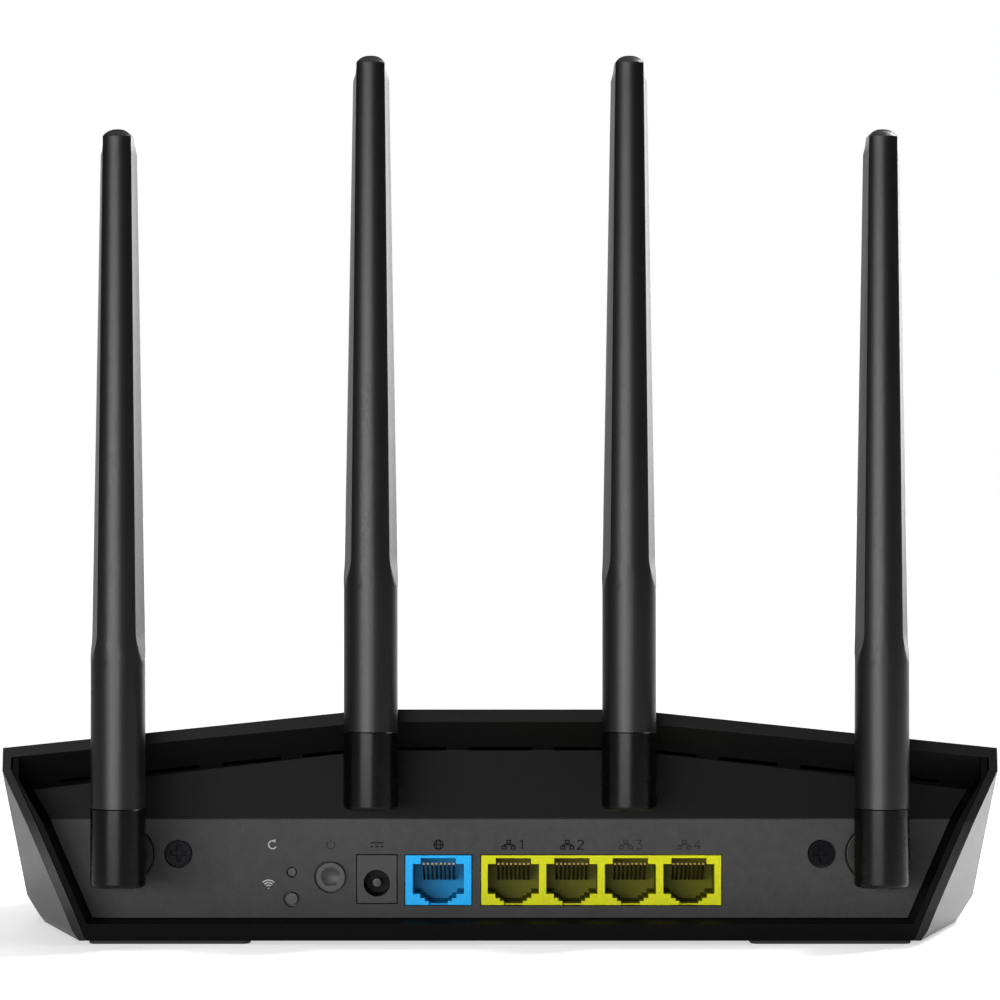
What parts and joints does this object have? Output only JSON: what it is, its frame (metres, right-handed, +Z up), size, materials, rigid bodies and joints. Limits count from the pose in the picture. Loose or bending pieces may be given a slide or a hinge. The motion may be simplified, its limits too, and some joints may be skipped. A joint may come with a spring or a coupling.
{
  "type": "wireless router",
  "caption": "Low faceted network router with a recessed row of sockets and tall antennas that swivel and fold on their pivots.",
  "frame": {"origin": "on the surface it stands on, under the middle of the bounding box", "axes": "+X along the connector panel, -Y towards the connector side, +Z up"},
  "size_m": [0.235, 0.1484, 0.2091],
  "materials": {
    "cover": "fine-textured black moulding",
    "case": "fine-textured black moulding",
    "panel": "fine-textured dark grey moulding",
    "lens": "frosted light strip",
    "guide": "clear light guide",
    "led": "pale indicator body",
    "board": "green solder mask",
    "wan": "bright blue moulding",
    "lan": "bright yellow moulding",
    "contact": "gold-plated wire",
    "inlet": "dark grey moulding",
    "nickel": "nickel plate",
    "switch": "black moulding",
    "heatsink": "extruded fins",
    "shield": "tinned sheet",
    "chip": "black epoxy",
    "pad": "soft thermal pad",
    "capacitor": "sleeved can",
    "ferrite": "ferrite",
    "lead": "thin coaxial lead",
    "screw": "black cross-head screw",
    "boardscrew": "plain cross-head screw",
    "foot": "soft black pad",
    "label": "blank pale label",
    "clip": "spring steel clip",
    "button": "dark grey moulding",
    "swivel": "black moulding",
    "pin": "ground pin",
    "sleeve": "glossy black sleeve",
    "mast": "fine-textured black moulding",
    "aerial": "printed copper strip"
  },
  "bodies": {
    "casing": {"top_cover": "cover", "bottom_case": "case", "rear_panel": "panel", "front_lens": "lens", "light_guide": "guide", "status_leds": "led", "main_board": "board", "wan_port": "wan", "wan_contacts": "contact", "lan_ports": "lan", "lan_contacts": "contact", "power_inlet": "inlet", "inlet_pin": "nickel", "power_switch": "switch", "pairing_switch": "switch", "reset_switch": "switch", "heat_sink": "heatsink", "radio_shields": "shield", "processor": "chip", "memory_chips": "chip", "radio_chips": "chip", "thermal_pads": "pad", "line_transformers": "chip", "capacitors": "capacitor", "inductors": "ferrite", "coax_sockets": "contact", "lead_outer_left": "lead", "lead_inner_left": "lead", "lead_inner_right": "lead", "lead_outer_right": "lead", "panel_screws": "screw", "case_screws": "screw", "board_screws": "boardscrew", "rubber_feet": "foot", "rating_label": "label", "swivel_clips": "clip"},
    "swivel_outer_left": {"swivel_outer_left": "swivel"},
    "antenna_outer_left": {"sleeve_outer_left": "sleeve", "mast_outer_left": "mast", "pin_outer_left": "pin", "aerial_outer_left": "aerial"},
    "swivel_inner_left": {"swivel_inner_left": "swivel"},
    "antenna_inner_left": {"sleeve_inner_left": "sleeve", "mast_inner_left": "mast", "pin_inner_left": "pin", "aerial_inner_left": "aerial"},
    "swivel_inner_right": {"swivel_inner_right": "swivel"},
    "antenna_inner_right": {"sleeve_inner_right": "sleeve", "mast_inner_right": "mast", "pin_inner_right": "pin", "aerial_inner_right": "aerial"},
    "swivel_outer_right": {"swivel_outer_right": "swivel"},
    "antenna_outer_right": {"sleeve_outer_right": "sleeve", "mast_outer_right": "mast", "pin_outer_right": "pin", "aerial_outer_right": "aerial"},
    "power_button": {"power_button": "button"},
    "reset_button": {"reset_button": "button"},
    "pairing_button": {"pairing_button": "button"}
  },
  "joints": [
    {"name": "swivel_outer_left", "type": "hinge", "parent": "casing", "child": "swivel_outer_left", "pos_m": [-0.0892, -0.04576, 0.0203], "axis": [0, 1, 0], "range_deg": [-90, 15]},
    {"name": "tilt_outer_left", "type": "hinge", "parent": "swivel_outer_left", "child": "antenna_outer_left", "pos_m": [-0.0892, -0.06776, 0.0203], "axis": [1, 0, 0], "range_deg": [0, 90]},
    {"name": "swivel_inner_left", "type": "hinge", "parent": "casing", "child": "swivel_inner_left", "pos_m": [-0.0303, -0.04576, 0.038], "axis": [0, 1, 0], "range_deg": [-15, 15]},
    {"name": "tilt_inner_left", "type": "hinge", "parent": "swivel_inner_left", "child": "antenna_inner_left", "pos_m": [-0.0303, -0.06276, 0.038], "axis": [1, 0, 0], "range_deg": [0, 90]},
    {"name": "swivel_inner_right", "type": "hinge", "parent": "casing", "child": "swivel_inner_right", "pos_m": [0.0303, -0.04576, 0.038], "axis": [0, 1, 0], "range_deg": [-15, 15]},
    {"name": "tilt_inner_right", "type": "hinge", "parent": "swivel_inner_right", "child": "antenna_inner_right", "pos_m": [0.0303, -0.06276, 0.038], "axis": [1, 0, 0], "range_deg": [0, 90]},
    {"name": "swivel_outer_right", "type": "hinge", "parent": "casing", "child": "swivel_outer_right", "pos_m": [0.0892, -0.04576, 0.0203], "axis": [0, 1, 0], "range_deg": [-15, 90]},
    {"name": "tilt_outer_right", "type": "hinge", "parent": "swivel_outer_right", "child": "antenna_outer_right", "pos_m": [0.0892, -0.06776, 0.0203], "axis": [1, 0, 0], "range_deg": [0, 90]},
    {"name": "press_power", "type": "slide", "parent": "casing", "child": "power_button", "axis": [0, 1, 0], "range_m": [0, 0.002], "stiffness_N_per_m": 400, "springref_m": -0.0005},
    {"name": "press_pairing", "type": "slide", "parent": "casing", "child": "pairing_button", "axis": [0, 1, 0], "range_m": [0, 0.0005], "stiffness_N_per_m": 400, "springref_m": -0.0005},
    {"name": "press_reset", "type": "slide", "parent": "casing", "child": "reset_button", "axis": [0, 1, 0], "range_m": [0, 0.0005], "stiffness_N_per_m": 400, "springref_m": -0.0005}
  ]
}
